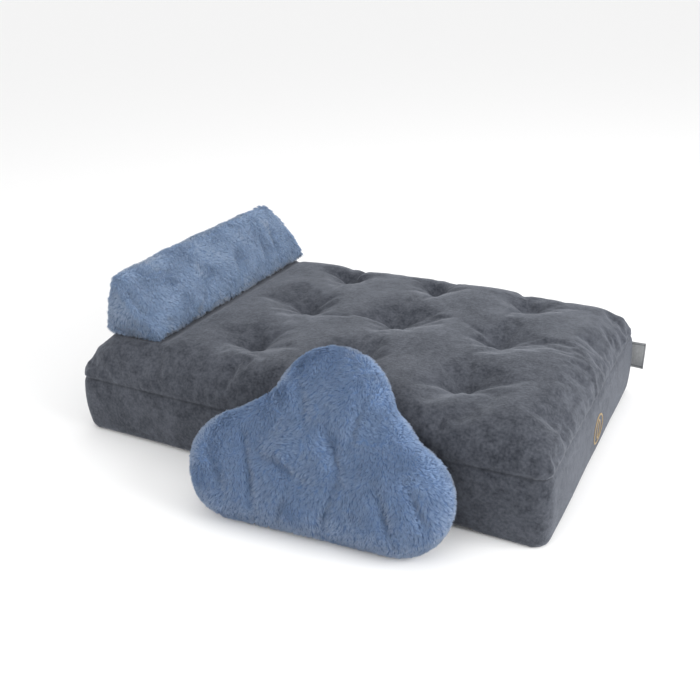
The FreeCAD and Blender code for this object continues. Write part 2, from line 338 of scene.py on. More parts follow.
def inflate(thing, pinned, pressure, excess, frames, cap):
    """Runs a short cloth simulation on a mesh and applies it, moving no point past cap."""
    start = points_of(thing)
    group = thing.vertex_groups.new(name="pinned")
    for weight in np.unique(np.round(pinned[pinned > 0], 1)):
        chosen = np.nonzero(np.round(pinned, 1) == weight)[0]
        group.add(chosen.tolist(), float(weight), "REPLACE")
    select_only(thing)
    cloth = thing.modifiers.new("stuffing", "CLOTH")
    cloth.settings.quality = 4
    cloth.settings.mass = 0.25
    cloth.settings.tension_stiffness = CLOTH_STIFFNESS
    cloth.settings.compression_stiffness = CLOTH_STIFFNESS
    cloth.settings.shear_stiffness = 5
    cloth.settings.bending_stiffness = 0.5
    cloth.settings.vertex_group_mass = "pinned"
    cloth.settings.use_pressure = True
    cloth.settings.uniform_pressure_force = pressure
    cloth.settings.shrink_min = -excess
    cloth.settings.effector_weights.gravity = 0
    cloth.collision_settings.use_collision = False
    cloth.collision_settings.use_self_collision = False
    for number in range(1, frames + 1):
        bpy.context.scene.frame_set(number)
    bpy.ops.object.modifier_apply(modifier="stuffing")
    bpy.context.scene.frame_set(1)
    thing.vertex_groups.clear()
    moved = points_of(thing) - start
    length = np.linalg.norm(moved, axis=1)
    keep = np.minimum(1, cap / np.maximum(length, 1e-9))
    move_points(thing, start + moved * keep[:, None])
    print(f"{thing.name} filled: furthest point moved {length.max() * 1000:.1f} mm")


# %% Fill the top panel
TUFT_EYE_DEPTH = 0.007
TUFT_FLOOR_Z = 0.1778


def crisp_tufts(cover):
    """Sharp folds and a deep eye at each tuft, after the simulation has rounded everything."""
    points = points_of(cover)
    high = smoothstep(0.15, 0.175, points[:, 2])
    gap = tuft_distance(points)
    points[:, 2] += (fold_rays(points, 8, 0.085, 0.0042) - fold_rays(points, 9, 0.07, 0.0024)) * high
    points[:, 2] -= TUFT_EYE_DEPTH * np.exp(-(gap / 0.015) ** 2) * high
    points[:, 2] = np.where(high > 0.9, np.maximum(points[:, 2], TUFT_FLOOR_Z), points[:, 2])
    move_points(cover, points)


def pin_cover(cover):
    """Weights that hold the cloth at its seam and at the eye of each tuft."""
    points = points_of(cover)
    near_seam = 1 - smoothstep(0.002, 0.02, points[:, 2] - seam_height(points[:, 0]))
    at_tuft = (tuft_distance(points) < 0.0055).astype(float)
    return np.maximum(near_seam, at_tuft)


inflate(cover, pin_cover(cover), pressure=2.0, excess=0.035, frames=14, cap=0.009)
crisp_tufts(cover)
print("top of the cover", round(points_of(cover)[:, 2].max(), 4))

# %% [markdown]
# ## Boxing, base and seams
# The rim of the top panel is extruded down in even steps to make the boxing, and the base closes
# it.  The boxing bellies out a little between its seams and pulls in at them, which is what makes
# a sewn edge read as an edge.  The panel lies flat where the bolster stands on it.


# %% Drop the boxing
BOXING_STEPS = 15


def drop_boxing(cover):
    """Extrudes the rim of the grid straight down in even steps."""
    select_only(cover)
    bpy.ops.object.mode_set(mode="EDIT")
    bpy.ops.mesh.select_mode(type="EDGE")
    bpy.ops.mesh.select_all(action="SELECT")
    bpy.ops.mesh.region_to_loop()
    for _ in range(BOXING_STEPS):
        bpy.ops.mesh.extrude_region_move(TRANSFORM_OT_translate={"value": (0, 0, -1)})
    bpy.ops.object.mode_set(mode="OBJECT")
    points = points_of(cover)
    fallen = np.floor(points[:, 2] - seam_height(points[:, 0]) + 0.5)
    level = np.round(np.where(points[:, 2] < -0.5, fallen, 0))
    share = -level / BOXING_STEPS
    side = level < 0
    seam = seam_height(points[:, 0])
    z = np.where(side, seam * (1 - share), points[:, 2])
    points[:, 2] = np.clip(z, 0, None)
    move_points(cover, points)
    return side, share


# %% Belly and pinch of the boxing
BELLY = 0.0045
SEAM_PINCH = 0.004


def sculpt_boxing(cover, side, share):
    """Lets the boxing belly out between its seams.  The back stays flat, for its zip."""
    points = points_of(cover)
    rim = (~side) & (points[:, 2] - seam_height(points[:, 0]) < 0.001)
    full = BELLY * np.sin(np.pi * np.clip(share, 0, 1)) + 0.0015 * cloud(points, 0.12, 4)
    belly = np.where(side, full, 0)
    belly = np.where(rim, -SEAM_PINCH, belly) - SEAM_PINCH * (side & (share > 0.98))
    belly_back = np.minimum(belly, 0) - 0.0004
    toward_x = np.sign(points[:, 0]) * smoothstep(0.9, 1.0, np.abs(points[:, 0]) / HALF_X)
    toward_y = np.sign(points[:, 1]) * smoothstep(0.86, 1.0, np.abs(points[:, 1]) / HALF_Y)
    walls = side | rim
    points[:, 0] += np.where(walls, toward_x * belly, 0)
    points[:, 1] += np.where(walls, toward_y * np.where(points[:, 1] > 0, belly_back, belly), 0)
    move_points(cover, points)


# %% Puckers along the seam
def gather_seams(cover, side):
    """Short puckers where the full top panel is eased into the boxing, mostly at the right end."""
    points = points_of(cover)
    above = points[:, 2] - seam_height(points[:, 0])
    band = smoothstep(0.0, 0.008, above) * (1 - smoothstep(0.02, 0.062, above)) * ~side
    along = np.where(np.abs(points[:, 0]) > HALF_X - 0.06, points[:, 1], points[:, 0])
    ripple = np.array([noise.noise(Vector((t / 0.011, 3.1, 0.4))) for t in along])
    strength = 0.0012 + 0.0035 * smoothstep(0.40, 0.49, points[:, 0])
    outward = np.stack([points[:, 0] / HALF_X, points[:, 1] / HALF_Y], 1)
    outward = np.sign(outward) * np.abs(outward) ** 12
    points[:, :2] += outward * (band * strength * ripple)[:, None]
    points[:, 2] += band * strength * ripple
    move_points(cover, points)


# %% Seat for the bolster
SEAT_GAP = 0.0012
SEAT_UNEVEN = 0.002


def seat_bolster(cover):
    """Flattens the panel under the bolster, and levels off what would rise into it."""
    low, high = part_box("bolster_base_panel")
    front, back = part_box("bolster_end_front")[0].y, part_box("bolster_end_back")[1].y
    points = points_of(cover)
    x, y = points[:, 0], points[:, 1]
    inside_x = smoothstep(low.x - 0.03, low.x, x) * (1 - smoothstep(high.x, high.x + 0.03, x))
    inside_y = smoothstep(front - 0.03, front, y) * (1 - smoothstep(back, back + 0.03, y))
    near = inside_x * inside_y * smoothstep(0.19, 0.2, points[:, 2])
    seat = low.z - SEAT_GAP
    points[:, 2] = points[:, 2] * (1 - near) + np.minimum(points[:, 2], seat) * near
    under = near > 0.999
    points[under, 2] = np.maximum(points[under, 2], seat - SEAT_UNEVEN)
    move_points(cover, points)


# %% Close the base
def close_base(cover):
    """Fills the open foot of the boxing with flat triangles."""
    select_only(cover)
    bpy.ops.object.mode_set(mode="EDIT")
    bpy.ops.mesh.select_mode(type="EDGE")
    bpy.ops.mesh.select_all(action="DESELECT")
    bpy.ops.mesh.select_non_manifold(extend=False, use_wire=False, use_multi_face=False,
                                     use_verts=False)
    bpy.ops.mesh.edge_face_add()
    bpy.ops.mesh.quads_convert_to_tris(ngon_method="BEAUTY")
    bpy.ops.mesh.select_all(action="SELECT")
    bpy.ops.mesh.normals_make_consistent(inside=False)
    bpy.ops.object.mode_set(mode="OBJECT")


side, share = drop_boxing(cover)
sculpt_boxing(cover, side, share)
gather_seams(cover, side)
seat_bolster(cover)
close_base(cover)
apply_modifier(cover, "finer", "SUBSURF", levels=1, render_levels=1)
bpy.ops.object.shade_smooth()
count_faces(cover)


# %% Mark the seams
def mark_seams(cover):
    """Stores how near each point is to a sewn edge, for a thin shadow line in the finish."""
    points = points_of(cover)
    off_seam = (points[:, 2] - seam_height(points[:, 0])) / 0.0022
    off_base = (points[:, 2] - 0.003) / 0.002
    reach = np.maximum(np.abs(points[:, 0]) / HALF_X, np.abs(points[:, 1]) / HALF_Y)
    outer = smoothstep(0.955, 0.975, reach)
    mark = np.exp(-off_seam ** 2) * outer + 0.6 * np.exp(-off_base ** 2) * outer
    stored = cover.data.attributes.new("seam", "FLOAT", "POINT")
    stored.data.foreach_set("value", mark.astype(np.float32))


mark_seams(cover)
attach(cover, "mattress")
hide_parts("top_panel", "boxing_front", "boxing_back", "boxing_left", "boxing_right",
            "bottom_panel", "topper_fill", "topper_backing", "memory_foam", "support_foam")
print("the mattress cover stands for ten CAD nodes")

# %% [markdown]
# ## Where the zips are
# Each zip has its own small frame: X runs along it towards the closed end, Y points out of the
# cloth and Z goes across.  It follows from the two joints of the zip, so nothing is measured twice.

# %% Zip frames
PULL_STANDOFF = 0.0057
SLIDER_END_GAP = 0.012
JOINTS = {joint["name"]: joint for joint in frame["joints"]}


def zip_frame(prefix):
    """The zip's placement, from its middle on the cloth, and its length."""
    slide, swing = JOINTS[prefix + "_zip_slide"], JOINTS[prefix + "_pull_swing"]
    x_dir, z_dir = -Vector(slide["axis"]).normalized(), -Vector(swing["axis"]).normalized()
    y_dir = z_dir.cross(x_dir)
    length = slide["range_m"][1] + 2 * SLIDER_END_GAP
    middle = Vector(swing["pos_m"]) - x_dir * (length / 2 - SLIDER_END_GAP) - y_dir * PULL_STANDOFF
    axes = Matrix((x_dir, y_dir, z_dir)).transposed().to_4x4()
    return Matrix.Translation(middle) @ axes, length


def into(points, placement):
    """World points in a local frame."""
    back = np.array(placement.inverted())
    return points @ back[:3, :3].T + back[:3, 3]


def out_of(points, placement):
    """Local points back in the world."""
    there = np.array(placement)
    return points @ there[:3, :3].T + there[:3, 3]


for zip_name in ("mattress", "bolster", "pillow"):
    print(zip_name, "zip", round(zip_frame(zip_name)[1], 3), "m long")


# %% Lay cloth against a zip
def meet_zip(thing, prefix):
    """Draws the cloth up flat behind a zip, so that its tapes lie on the cloth."""
    placement, length = zip_frame(prefix)
    local = into(points_of(thing), placement)
    near = (1 - smoothstep(length / 2 + 0.014, length / 2 + 0.034, np.abs(local[:, 0])))
    near = near * (1 - smoothstep(0.017, 0.032, np.abs(local[:, 2]))) * (np.abs(local[:, 1]) < 0.025)
    local[:, 1] = local[:, 1] * (1 - near) - 0.0004 * near
    move_points(thing, out_of(local, placement))


# %% [markdown]
# ## The bolster and the pillow under their fur
# A stuffed cushion is never flat.  Both start as a copy of their filling from the CAD model, are
# remeshed evenly, filled by a short cloth simulation and then creased along listed lines.  The fur
# comes on top of this skin later.


# %% Copy and remesh a filling
VOXEL = 0.006


def copy_of_node(node, name):
    """An evenly remeshed copy of a CAD node, as a new piece."""
    source = frame["nodes"][node]
    copy = bpy.data.objects.new(name, source.data.copy())
    bpy.context.collection.objects.link(copy)
    copy.data.materials.clear()
    select_only(copy)
    bpy.ops.object.mode_set(mode="EDIT")
    bpy.ops.mesh.select_all(action="SELECT")
    bpy.ops.mesh.remove_doubles(threshold=0.00002)
    bpy.ops.mesh.normals_make_consistent(inside=False)
    bpy.ops.object.mode_set(mode="OBJECT")
    apply_modifier(copy, "even", "REMESH", mode="VOXEL", voxel_size=VOXEL)
    return copy


def crease(points, start, end, width, depth):
    """How deep a soft crease from start to end presses in at each point, all in one plane."""
    start, run = np.array(start), np.array(end) - np.array(start)
    t = np.clip(((points - start) @ run) / (run @ run), 0, 1)
    gap = np.linalg.norm(points - (start + t[:, None] * run), axis=1)
    return depth * np.exp(-(gap / width) ** 2) * (0.35 + 0.65 * np.sin(np.pi * np.clip(t, 0.05, 0.95)))


# %% Where the pillow leans
PILLOW_LEAN = math.radians(25.5)
PILLOW_TURN = math.radians(4.87)
PILLOW_FOOT = Vector((0.1285, -0.4525, 0.0047))


def pillow_frame():
    """X across the pillow, Y through it to its back, Z up along it, from the middle of its foot."""
    turn = Matrix.Rotation(PILLOW_TURN, 4, "Z")
    lean = Matrix.Rotation(-PILLOW_LEAN, 4, "X")
    return Matrix.Translation(PILLOW_FOOT) @ turn @ lean


print("pillow foot", [round(value, 3) for value in PILLOW_FOOT])

# %% The pillow's skin
# Each crease: its start and its end on the face (across, up), its width and its depth.
PILLOW_CREASES = [((-0.13, 0.16), (-0.09, 0.03), 0.010, 0.007), ((-0.10, 0.13), (-0.01, 0.10), 0.012, 0.006),
                  ((0.02, 0.20), (0.06, 0.11), 0.012, 0.006), ((0.05, 0.10), (0.03, 0.015), 0.010, 0.007),
                  ((0.12, 0.12), (0.16, 0.03), 0.010, 0.006), ((0.17, 0.13), (0.21, 0.06), 0.009, 0.005),
                  ((-0.04, 0.27), (-0.01, 0.19), 0.012, 0.005), ((0.08, 0.25), (0.07, 0.17), 0.010, 0.005),
                  ((-0.19, 0.12), (-0.15, 0.05), 0.010, 0.005), ((-0.03, 0.08), (-0.05, 0.01), 0.009, 0.005)]

# Each lobe: its middle (across, up) and its radius.
PILLOW_LOBES = [(-0.149, 0.096, 0.1), (0.149, 0.096, 0.1), (0.016, 0.222, 0.11), (0, 0.10, 0.13)]
# Each waist between two lobes: its middle (across, up) and how far its filling spreads.
PILLOW_WAISTS = [(-0.115, 0.19, 0.055), (0.126, 0.19, 0.04)]
CREASE_STRENGTH = 1.6


def make_pillow_skin():
    """Thins the filling towards its rim, fills its waists and creases its faces."""
    skin = copy_of_node("pillow_fill", "pillow_cover")
    placement = pillow_frame()
    local = into(points_of(skin), placement)
    face = local[:, [0, 2]]
    rim = np.min([np.abs(np.hypot(face[:, 0] - x, face[:, 1] - z) / r)
                  for x, z, r in PILLOW_LOBES], axis=0)
    local[:, 1] *= 0.98 - 0.22 * smoothstep(0.35, 1.05, rim)
    move_points(skin, out_of(local, placement))
    inflate(skin, np.zeros(len(local)), pressure=2.0, excess=0.01, frames=10, cap=0.003)
    local = into(points_of(skin), placement)
    for x, z, reach in PILLOW_WAISTS:
        near = np.exp(-((local[:, 0] - x) ** 2 + (local[:, 2] - z) ** 2) / reach ** 2)
        local[:, 0] += np.sign(x) * 0.012 * near
        local[:, 2] += 0.010 * near
    facing = np.clip(np.abs(local[:, 1]) / 0.025, 0, 1) * np.sign(local[:, 1])
    press = CREASE_STRENGTH * sum(crease(local[:, [0, 2]], *line) for line in PILLOW_CREASES)
    uneven = (cloud(local, 0.075, 11), cloud(local, 0.03, 12))
    local[:, 1] -= facing * (press - 0.006 * uneven[0] - 0.0025 * uneven[1])
    move_points(skin, out_of(local, placement))
    meet_zip(skin, "pillow")
    return skin


# %% The bolster's skin
# Each crease: its start and its end on the slope (along Y, up Z), its width and its depth.
BOLSTER_CREASES = [((0.20, 0.31), (0.13, 0.22), 0.006, 0.008), ((0.24, 0.31), (0.19, 0.23), 0.006, 0.006),
                   ((0.10, 0.31), (0.03, 0.24), 0.007, 0.005), ((-0.06, 0.27), (-0.12, 0.22), 0.008, 0.006),
                   ((0.02, 0.26), (-0.02, 0.21), 0.007, 0.004)]
END_SEAM_INSET = 0.016
END_SEAM_DEPTH = 0.012
END_BULGE = 0.012


def make_bolster_skin():
    """Fills the wedge, rounds its ends out, and presses in a seam near each end."""
    skin = copy_of_node("bolster_foam", "bolster_cover")
    points = points_of(skin)
    middle = points.mean(0)
    points[:, 1] = middle[1] + (points[:, 1] - middle[1]) * 0.992
    move_points(skin, points)
    low = points[:, 2].min() + 0.004
    resting = (points[:, 2] < low).astype(float)
    inflate(skin, resting, pressure=2.5, excess=0.012, frames=10, cap=0.004)
    points = points_of(skin)
    high = smoothstep(points[:, 2].min() + 0.004, points[:, 2].min() + 0.02, points[:, 2])
    half = (points[:, 1].max() - points[:, 1].min()) / 2
    off_axis = np.hypot(points[:, 0] - middle[0], points[:, 2] - middle[2])
    share = (points[:, 1] - middle[1]) / half
    near_end = smoothstep(0.9, 1, np.abs(share))
    points[:, 1] += np.sign(share) * END_BULGE * near_end * np.exp(-(off_axis / 0.05) ** 2)
    away = points - middle
    away[:, 1] *= 0.15
    away /= np.linalg.norm(away, axis=1)[:, None]
    lumps = 0.003 * cloud(points * np.array([1, 0.7, 1]), 0.05, 21) + 0.0015 * cloud(points, 0.02, 22)
    for line in BOLSTER_CREASES:
        lumps -= crease(points[:, [1, 2]], *line) * (points[:, 0] > middle[0])
    points += away * (lumps * high)[:, None]
    for end in (points[:, 1].min() + END_SEAM_INSET, points[:, 1].max() - END_SEAM_INSET):
        groove = np.exp(-((points[:, 1] - end) / 0.007) ** 2) * high
        points[:, [0, 2]] -= away[:, [0, 2]] * (END_SEAM_DEPTH * groove)[:, None]
    move_points(skin, points)
    meet_zip(skin, "bolster")
    return skin


# %% Finish both skins
def finish_skin(skin, body, slot, *nodes):
    """Smooth shading, and what the skin rides on and stands for.  The slot, what the skin is, is not used.
    """
    select_only(skin)
    bpy.ops.object.shade_smooth()
    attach(skin, body)
    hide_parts(*nodes)
    count_faces(skin)


pillow = make_pillow_skin()
bolster = make_bolster_skin()
finish_skin(pillow, "pillow", "pillow_plush", "pillow_front_panel", "pillow_back_panel",
            "pillow_liner_front", "pillow_liner_back", "pillow_fill")
finish_skin(bolster, "bolster", "bolster_plush", "bolster_front_panel", "bolster_back_panel",
            "bolster_base_panel", "bolster_end_front", "bolster_end_back", "bolster_foam")

# %% [markdown]
# ## Fur
# Long-pile plush is thousands of thin fibres that lean together in locks.  Hair particles would
# be lost in an exported mesh, so each lock of fibres is a closed four-sided spike.  They are far
# too many to model one by one: they are scattered over the skin and built as one array.  A slow
# noise combs them in patches, and each one leans towards the middle of its own lock.

# %% Scatter the roots
def scatter(skin, count, seed):
    """Random points on a mesh, even by area, with the surface's direction at each."""
    mesh = skin.data
    mesh.calc_loop_triangles()
    corners = np.zeros(len(mesh.loop_triangles) * 3, dtype=np.int64)
    mesh.loop_triangles.foreach_get("vertices", corners)
    points = points_of(skin)
    a, b, c = points[corners.reshape(-1, 3)].transpose(1, 0, 2)
    normal = np.cross(b - a, c - a)
    area = np.linalg.norm(normal, axis=1)
    rng = np.random.default_rng(seed)
    chosen = rng.choice(len(area), size=count, p=area / area.sum())
    u, v = rng.random(count), rng.random(count)
    over = u + v > 1
    u[over], v[over] = 1 - u[over], 1 - v[over]
    root = a[chosen] + (b - a)[chosen] * u[:, None] + (c - a)[chosen] * v[:, None]
    return root, normal[chosen] / area[chosen][:, None], rng


# %% Comb the fur
def unit(vectors):
    """The same directions, each one metre long."""
    return vectors / np.maximum(np.linalg.norm(vectors, axis=1), 1e-9)[:, None]


def comb(root, normal, rng, pile, down):
    """The tip of each spike: leaning along a slow noise, and gathered into small locks."""
    swirl = np.stack([cloud(root, 0.055, seed) for seed in (31, 32, 33)], 1)
    flow = unit(down + 1.5 * swirl + 0.25 * rng.normal(size=root.shape))
    flow = unit(flow - normal * np.sum(flow * normal, axis=1)[:, None])
    lean = 0.98 + 0.25 * rng.random(len(root))
    length = pile * (0.7 + 0.5 * rng.random(len(root)))
    tip = root + (normal * np.cos(lean)[:, None] + flow * np.sin(lean)[:, None]) * length[:, None]
    locks = max(1, len(root) // 14)
    tree = kdtree.KDTree(locks)
    for index in range(locks):
        tree.insert(Vector(root[index]), index)
    tree.balance()
    own = np.array([tree.find(Vector(place))[1] for place in root])
    return tip * 0.6 + tip[own] * 0.4


# %% Build the spikes
def build_fur(name, root, tip, normal, width):
    """One closed spike of four triangles on each root, with a shade value from root to tip."""
    count = len(root)
    along = unit(tip - root)
    side_a = unit(np.cross(along, normal + 0.01))
    side_b = np.cross(along, side_a)
    base = root - normal * 0.001
    points = np.stack([base + side_a * width, base - side_a * width * 0.5 + side_b * width * 0.8,
                       base - side_a * width * 0.5 - side_b * width * 0.8, tip], 1).reshape(-1, 3)
    first = np.arange(count)[:, None] * 4
    faces = np.concatenate([first + np.array([[0, 1, 3]]), first + np.array([[1, 2, 3]]),
                            first + np.array([[2, 0, 3]]), first + np.array([[0, 2, 1]])])
    mesh = bpy.data.meshes.new(name)
    mesh.vertices.add(len(points))
    mesh.vertices.foreach_set("co", points.ravel())
    mesh.loops.add(len(faces) * 3)
    mesh.loops.foreach_set("vertex_index", faces.ravel().astype(np.int32))
    mesh.polygons.add(len(faces))
    mesh.polygons.foreach_set("loop_start", np.arange(len(faces), dtype=np.int32) * 3)
    mesh.update(calc_edges=True)
    shade = mesh.attributes.new("tip", "FLOAT", "POINT")
    shade.data.foreach_set("value", np.tile([0, 0, 0, 1], count).astype(np.float32))
    fur = bpy.data.objects.new(name, mesh)
    bpy.context.collection.objects.link(fur)
    lay_out(fur, np.repeat(root, 4, axis=0), faces)
    return fur


def lay_out(fur, anchor, faces):
    """Gives every spike the flat place of its root, in a map of the whole patch of fur."""
    span = anchor - anchor.min(0)
    wide = np.argsort(-span.max(0))[:2]
    flat = 0.02 + 0.96 * span[:, wide] / span[:, wide].max()
    uv = fur.data.uv_layers.new(name="OFBake")
    spread = np.array([[0, 0], [0.0006, 0], [0, 0.0006], [0.0006, 0.0006]])
    flat = flat + np.tile(spread, (len(anchor) // 4, 1))
    uv.data.foreach_set("uv", flat[faces.ravel()].astype(np.float32).ravel())


# %% Sizes and limits of the fur
FUR_WIDTH = 0.0010
PILE = 0.0095
SPIKES = 46000


def clear_of_zip(root, prefix):
    """Which roots are clear of the strip that a zip needs."""
    placement, length = zip_frame(prefix)
    local = into(root, placement)
    strip = (np.abs(local[:, 0]) < length / 2 + 0.014) & (np.abs(local[:, 2]) < 0.018)
    return ~(strip & (np.abs(local[:, 1]) < 0.02))


def floor_under(prefix):
    """The height that no fibre may pass below."""
    return 0.0008 if prefix == "pillow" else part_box("bolster_base_panel")[0].z - 0.0002


print("fur", SPIKES, "spikes a patch at most,", PILE, "m long")


# %% Grow the fur in patches
def grow(skin, prefix, body, patches, total, seed):
    """Splits the roots into patches by a test on place and normal, one fur piece each."""
    root, normal, rng = scatter(skin, total, seed)
    tip = comb(root, normal, rng, PILE, np.array([0, 0, -0.9]))
    tip[:, 2] = np.maximum(tip[:, 2], floor_under(prefix))
    keep = clear_of_zip(root, prefix)
    pieces = []
    for name, test in patches.items():
        chosen = keep & test(root, normal)
        fur = build_fur(name, root[chosen], tip[chosen], normal[chosen], FUR_WIDTH)
        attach(fur, body)
        count_faces(fur)
        pieces.append(fur)
    return pieces


def faces_front(root, normal):
    """Roots on the pillow's front face."""
    return into(root, pillow_frame())[:, 1] < 0


def slopes_up(root, normal):
    """Roots on the bolster's slope, towards the middle of the bed."""
    return (normal[:, 0] > 0.3) & (np.abs(normal[:, 1]) < 0.7)


def faces_back(root, normal):
    """Roots on the bolster's back, where its zip is."""
    return (normal[:, 0] < -0.3) & (np.abs(normal[:, 1]) < 0.7)


pillow_fur = grow(pillow, "pillow", "pillow",
                  {"pillow_fur_front": faces_front, "pillow_fur_back": lambda r, n: ~faces_front(r, n)},
                  2 * SPIKES, 41)
bolster_fur = grow(bolster, "bolster", "bolster",
                   {"bolster_fur_slope": slopes_up,
                    "bolster_fur_back": faces_back,
                    "bolster_fur_rest": lambda r, n: ~slopes_up(r, n) & ~faces_back(r, n)},
                   2 * SPIKES, 43)

# %% [markdown]
# ## Zip teeth
# The CAD coils are two plain bars.  A real coil zip shows a row of small hooked loops from each
# side that interlock.  Each loop is a small bevelled block here, because at this size only the
# rows of teeth are seen.  An array repeats the block along the zip, and the second row lies across
# the middle line, moved on by half a pitch.

# %% Zip teeth
TOOTH_PITCH = 0.0026
TOOTH_SIZE = (0.0011, 0.0019, 0.0036)


def one_tooth():
    """A small bevelled block, 3.6 mm across the zip, for one loop of the coil."""
    bpy.ops.object.select_all(action="DESELECT")
    bpy.ops.mesh.primitive_cube_add(size=1, location=(0, 0, 0))
    tooth = bpy.context.active_object
    bpy.ops.object.mode_set(mode="EDIT")
    bpy.ops.mesh.select_all(action="SELECT")
    bpy.ops.transform.resize(value=TOOTH_SIZE)
    bpy.ops.mesh.bevel(offset=0.0004, segments=1, affect="EDGES")
    bpy.ops.object.mode_set(mode="OBJECT")
    return tooth


# %% Rows of teeth
def zip_teeth(prefix):
    """Two rows of teeth along a zip, half a pitch apart, as one piece."""
    placement, length = zip_frame(prefix)
    tooth = one_tooth()
    count = int((length - 0.004) / TOOTH_PITCH)
    start = -(count - 1) * TOOTH_PITCH / 2
    rows = []
    for shift, side in ((0, 1), (TOOTH_PITCH / 2, -1)):
        row = tooth.copy()
        row.data = tooth.data.copy()
        bpy.context.collection.objects.link(row)
        move_points(row, points_of(row) + np.array([start + shift, 0.0012, side * 0.0011]))
        apply_modifier(row, "repeat", "ARRAY", count=count, use_relative_offset=False,
                       use_constant_offset=True, constant_offset_displace=(TOOTH_PITCH, 0, 0))
        rows.append(row)
    bpy.data.objects.remove(tooth)
    select_only(rows[0])
    rows[1].select_set(True)
    bpy.ops.object.join()
    teeth = rows[0]
    teeth.name = prefix + "_zip_teeth"
    move_points(teeth, out_of(points_of(teeth), placement))
    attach(teeth, prefix)
    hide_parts(prefix + "_zip_coils")
    count_faces(teeth)
    return teeth


teeth = {"mattress": zip_teeth("mattress"),
         "bolster": zip_teeth("bolster"),
         "pillow": zip_teeth("pillow")}

# %% [markdown]
# ## Label and badge
# A folded satin label is caught in the seam at the right end, and an embroidered badge sits on the
# same boxing.  Both are blank or generic here: the label has only a woven border, and the badge is
# a ring round one upright oval.  The badge is laid on the bellied cloth by casting a ray for each
# of its points.

# %% Label
LABEL_THICKNESS = 0.0011


def make_label():
    """A thin flag that curls a little towards its free edge."""
    low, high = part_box("woven_label")
    middle, size = (low + high) / 2, high - low
    bpy.ops.object.select_all(action="DESELECT")
    bpy.ops.mesh.primitive_grid_add(x_subdivisions=14, y_subdivisions=24, size=1)
    label = bpy.context.active_object
    label.name = "label_flag"
    flat = points_of(label)
    free = flat[:, 0] + 0.5
    curl = 0.0035 * free ** 2 * np.sin(flat[:, 1] * 4 + 0.6)
    move_points(label, np.stack([middle.x + flat[:, 0] * size.x, middle.y + curl - 0.001 * free,
                                 middle.z + flat[:, 1] * size.z * (1 - 0.02 * free)], 1))
    apply_modifier(label, "thick", "SOLIDIFY", thickness=LABEL_THICKNESS, offset=0)
    apply_modifier(label, "soft", "BEVEL", width=0.0003, segments=2, limit_method="ANGLE")
    bpy.ops.object.shade_smooth_by_angle(angle=math.radians(40))
    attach(label, "mattress")
    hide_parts("woven_label")
    count_faces(label)
    return label


label = make_label()


# %% Badge
RING_RADIUS = 0.029
OVAL_RADII = (0.010, 0.019)
STITCH_WIDTH = 0.0021
STITCH_HEIGHT = 0.0009


def stitched_ring(radius_y, radius_z):
    """An oval of satin stitch: a torus whose skin is rippled by its threads."""
    bpy.ops.object.select_all(action="DESELECT")
    bpy.ops.mesh.primitive_torus_add(major_segments=160, minor_segments=10,
                                     major_radius=1, minor_radius=0.1)
    ring = bpy.context.active_object
    round_points = points_of(ring)
    heading = np.arctan2(round_points[:, 1], round_points[:, 0])
    reach = np.hypot(round_points[:, 0], round_points[:, 1]) - 1
    ripple = 1 + 0.12 * np.sin(heading * 80)
    across = reach * 10 * STITCH_WIDTH * ripple
    up = round_points[:, 2] * 10 * STITCH_HEIGHT * ripple
    y, z = np.cos(heading) * (radius_y + across), np.sin(heading) * (radius_z + across)
    move_points(ring, np.stack([up, y, z], 1))
    return ring


def make_badge():
    """A ring and an upright oval, joined and laid on the boxing point by point."""
    low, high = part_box("emblem_patch")
    middle = (low + high) / 2
    rings = [stitched_ring(RING_RADIUS, RING_RADIUS), stitched_ring(*OVAL_RADII)]
    bpy.ops.object.select_all(action="DESELECT")
    for ring in rings:
        ring.select_set(True)
    bpy.context.view_layer.objects.active = rings[0]
    bpy.ops.object.join()
    badge = rings[0]
    badge.name = "badge"
    bpy.ops.object.mode_set(mode="EDIT")
    bpy.ops.mesh.select_all(action="SELECT")
    bpy.ops.mesh.normals_make_consistent(inside=False)
    bpy.ops.object.mode_set(mode="OBJECT")
    points = points_of(badge)
    for index, (up, y, z) in enumerate(points):
        _, place, _, _ = cover.ray_cast(Vector((0.6, middle.y + y, middle.z + z)), Vector((-1, 0, 0)))
        points[index] = (place.x + up + 0.0003, place.y, place.z)
    move_points(badge, points)
    select_only(badge)
    bpy.ops.object.shade_smooth()
    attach(badge, "mattress")
    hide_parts("emblem_patch")
    count_faces(badge)
    return badge


badge = make_badge()

# %% [markdown]
# ## Finishes
# Two effects are shared by nearly all the cloth, so each is a node group: one gives soft patches
# and fine grain, the other the over-and-under of woven thread.  Both read Object coordinates, so
# the grain has the same size on every piece.

# %% Helpers for node groups
def start_group(name, inputs, outputs):
    """An empty group with a Vector, the given number inputs, and number outputs."""
    group = bpy.data.node_groups.new(name, "ShaderNodeTree")
    group.interface.new_socket(name="Vector", in_out="INPUT", socket_type="NodeSocketVector")
    for label_text, value in inputs:
        socket = group.interface.new_socket(name=label_text, in_out="INPUT", socket_type="NodeSocketFloat")
        socket.default_value = value
    for label_text in outputs:
        group.interface.new_socket(name=label_text, in_out="OUTPUT", socket_type="NodeSocketFloat")
    return group, group.nodes.new("NodeGroupInput"), group.nodes.new("NodeGroupOutput")


def math_node(tree, operation, first, second):
    """Adds one calculation and gives its result."""
    node = tree.nodes.new("ShaderNodeMath")
    node.operation = operation
    for socket, value in zip(node.inputs, (first, second)):
        if isinstance(value, (int, float)):
            socket.default_value = value
        else:
            tree.links.new(value, socket)
    return node.outputs[0]


def noise_node(tree, vector, scale, detail):
    """Adds a noise texture and gives its value."""
    node = tree.nodes.new("ShaderNodeTexNoise")
    node.inputs["Detail"].default_value = detail
    tree.links.new(vector, node.inputs["Vector"])
    if isinstance(scale, (int, float)):
        node.inputs["Scale"].default_value = scale
    else:
        tree.links.new(scale, node.inputs["Scale"])
    return node.outputs[0]


